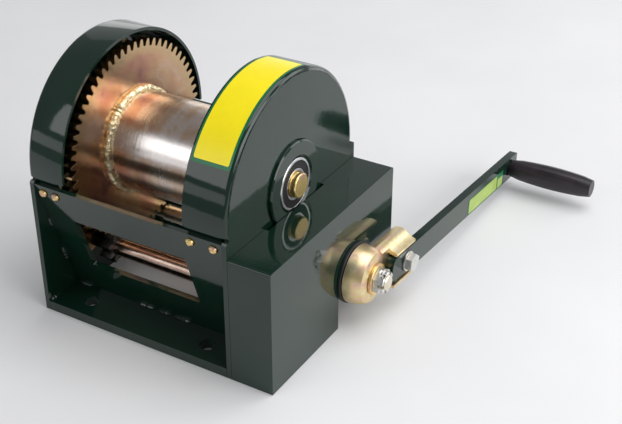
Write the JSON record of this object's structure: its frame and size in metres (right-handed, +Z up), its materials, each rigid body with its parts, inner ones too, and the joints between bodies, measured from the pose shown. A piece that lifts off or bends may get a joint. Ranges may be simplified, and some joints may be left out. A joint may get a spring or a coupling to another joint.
{
  "type": "hand crank trailer winch",
  "caption": "Hand crank winch: geared rope drum on bearings in a plate frame with half-round covers, closed gear case and a long crank arm with a turning grip.",
  "frame": {"origin": "centre of the front base strip's underside, midway between its two bolt holes", "axes": "+X along the drum axis towards the gear case and crank, +Y from the front panel to the back along the crank arm at rest, +Z up"},
  "size_m": [0.4087, 0.4832, 0.2635],
  "materials": {
    "green_paint": "gloss dark green paint",
    "yellow_zinc": "yellow chromated zinc plate",
    "bright_zinc": "bright zinc plate",
    "ground_steel": "ground steel",
    "gear_steel": "greased gear steel",
    "bronze": "plain bronze",
    "friction_lining": "pressed friction lining",
    "black_rubber": "satin black rubber",
    "black_plastic": "satin ribbed plastic"
  },
  "bodies": {
    "frame": {"side_plate_left": "green_paint", "side_plate_right": "green_paint", "front_panel": "green_paint", "rear_panel": "green_paint", "base_strip_front": "green_paint", "base_strip_rear": "green_paint", "left_cover": "green_paint", "right_cover": "green_paint", "bearing_housing_left": "green_paint", "bearing_housing_right": "green_paint", "gear_case": "green_paint", "cover_screw_front_1": "yellow_zinc", "cover_screw_front_2": "yellow_zinc", "cover_screw_front_3": "yellow_zinc", "cover_screw_front_4": "yellow_zinc", "cover_screw_rear_1": "yellow_zinc", "cover_screw_rear_2": "yellow_zinc", "case_screw_1": "yellow_zinc", "case_screw_2": "yellow_zinc", "case_screw_3": "yellow_zinc", "case_screw_4": "yellow_zinc", "bearing_outer_ring_left": "ground_steel", "bearing_outer_ring_right": "ground_steel", "idler_pin": "ground_steel", "pawl_pin": "ground_steel", "pawl_spring": "ground_steel", "countershaft_bush_left": "bronze", "countershaft_bush_right": "bronze", "input_bush_left": "bronze", "input_bush_case": "bronze", "bearing_seal_left": "black_rubber", "bearing_seal_right": "black_rubber"},
    "drum": {"drum_shaft": "yellow_zinc", "drum_barrel": "yellow_zinc", "drum_gear": "yellow_zinc", "drum_flange": "yellow_zinc", "bearing_inner_ring_left": "ground_steel", "bearing_inner_ring_right": "ground_steel"},
    "countershaft": {"countershaft": "yellow_zinc", "countershaft_pinion": "yellow_zinc", "countershaft_gear": "gear_steel"},
    "idler": {"idler_cluster_gear": "gear_steel"},
    "crank": {"input_shaft": "yellow_zinc", "input_pinion": "gear_steel", "friction_disc_inner": "friction_lining", "friction_disc_outer": "friction_lining", "brake_pressure_plate": "ground_steel", "crank_hub": "yellow_zinc", "hub_dust_ring": "black_rubber", "hub_washer": "yellow_zinc", "castle_nut": "bright_zinc", "split_pin": "bright_zinc", "crank_arm": "green_paint", "arm_bolt_washer": "bright_zinc", "arm_bolt": "bright_zinc", "arm_nut": "bright_zinc", "grip_spindle": "bright_zinc"},
    "ratchet": {"ratchet_wheel": "gear_steel"},
    "pawl": {"pawl": "ground_steel"},
    "grip": {"crank_grip": "black_plastic"}
  },
  "joints": [
    {"name": "drum_spin", "type": "hinge", "parent": "frame", "child": "drum", "pos_m": [0, 0.089, 0.153], "axis": [1, 0, 0], "continuous": true},
    {"name": "countershaft_spin", "type": "hinge", "parent": "frame", "child": "countershaft", "pos_m": [0, 0.04416, 0.05133], "axis": [1, 0, 0], "continuous": true},
    {"name": "idler_spin", "type": "hinge", "parent": "frame", "child": "idler", "pos_m": [0, 0.08966, 0.08647], "axis": [1, 0, 0], "continuous": true},
    {"name": "crank_spin", "type": "hinge", "parent": "frame", "child": "crank", "pos_m": [0, 0.1248, 0.0509], "axis": [1, 0, 0], "continuous": true},
    {"name": "ratchet_spin", "type": "hinge", "parent": "frame", "child": "ratchet", "pos_m": [0, 0.1248, 0.0509], "axis": [1, 0, 0], "continuous": true},
    {"name": "pawl_pivot", "type": "hinge", "parent": "frame", "child": "pawl", "pos_m": [0, 0.1538, 0.0879], "axis": [1, 0, 0], "range_deg": [-22, 0], "stiffness_Nm_per_rad": 0.05},
    {"name": "grip_spin", "type": "hinge", "parent": "crank", "child": "grip", "pos_m": [0, 0.44385, 0.0263], "axis": [1, 0, 0], "continuous": true}
  ],
  "couplings": [
    {"joint": "countershaft_spin", "follows": "drum_spin", "ratio": -7.75},
    {"joint": "idler_spin", "follows": "drum_spin", "ratio": 21.958},
    {"joint": "crank_spin", "follows": "drum_spin", "ratio": -51.236}
  ]
}
